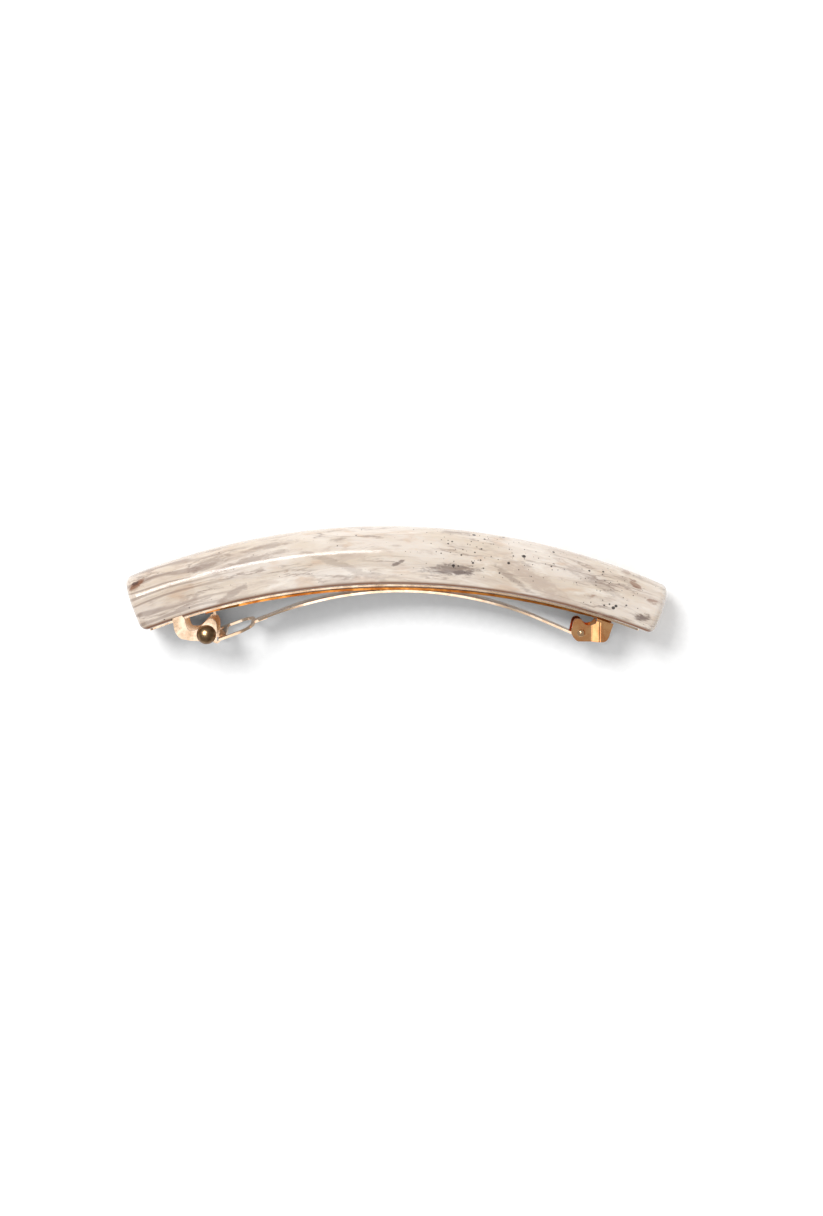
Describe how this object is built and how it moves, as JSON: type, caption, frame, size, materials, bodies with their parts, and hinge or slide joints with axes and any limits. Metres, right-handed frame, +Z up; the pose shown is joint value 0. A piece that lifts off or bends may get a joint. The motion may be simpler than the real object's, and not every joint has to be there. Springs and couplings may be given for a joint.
{
  "type": "barrette",
  "caption": "Bowed half-round acetate hair barrette on a stamped spring clip, with a hinged clasp arm whose loop snaps into a squeeze-release catch.",
  "frame": {"origin": "bottom centre of the bounding box, with the barrette lying on its long side and its clip shut", "axes": "+X along the bar from the catch to the hinge, +Y from the clip to the top of the bar's dome, +Z up across the bar's width"},
  "size_m": [0.1106, 0.0238, 0.012],
  "materials": {
    "marbled_acetate": "polished",
    "gold_plate": "polished",
    "dark_bronze": "antique"
  },
  "bodies": {
    "clip_body": {"acetate_bar": "marbled_acetate", "base_plate": "gold_plate", "left_plate_pin": "gold_plate", "right_plate_pin": "gold_plate", "tension_bar": "gold_plate", "catch_bracket": "gold_plate", "hinge_bracket": "gold_plate", "hinge_rivet": "gold_plate", "hinge_pin": "gold_plate"},
    "clasp_arm": {"clasp_arm": "gold_plate"},
    "front_wing": {"front_catch_wing": "gold_plate", "front_knob": "dark_bronze"},
    "rear_wing": {"rear_catch_wing": "gold_plate", "rear_knob": "dark_bronze"}
  },
  "joints": [
    {"name": "arm_hinge", "type": "hinge", "parent": "clip_body", "child": "clasp_arm", "pos_m": [0.03766, -0.0098, 0.006], "axis": [0, 0, 1], "range_deg": [0, 85]},
    {"name": "front_wing_squeeze", "type": "hinge", "parent": "clip_body", "child": "front_wing", "pos_m": [-0.04198, -0.0101, 0.00975], "axis": [0, 1, 0], "range_deg": [0, 9], "stiffness_Nm_per_rad": 0.1},
    {"name": "rear_wing_squeeze", "type": "hinge", "parent": "clip_body", "child": "rear_wing", "pos_m": [-0.04198, -0.0101, 0.00225], "axis": [0, -1, 0], "range_deg": [0, 9], "stiffness_Nm_per_rad": 0.1}
  ]
}
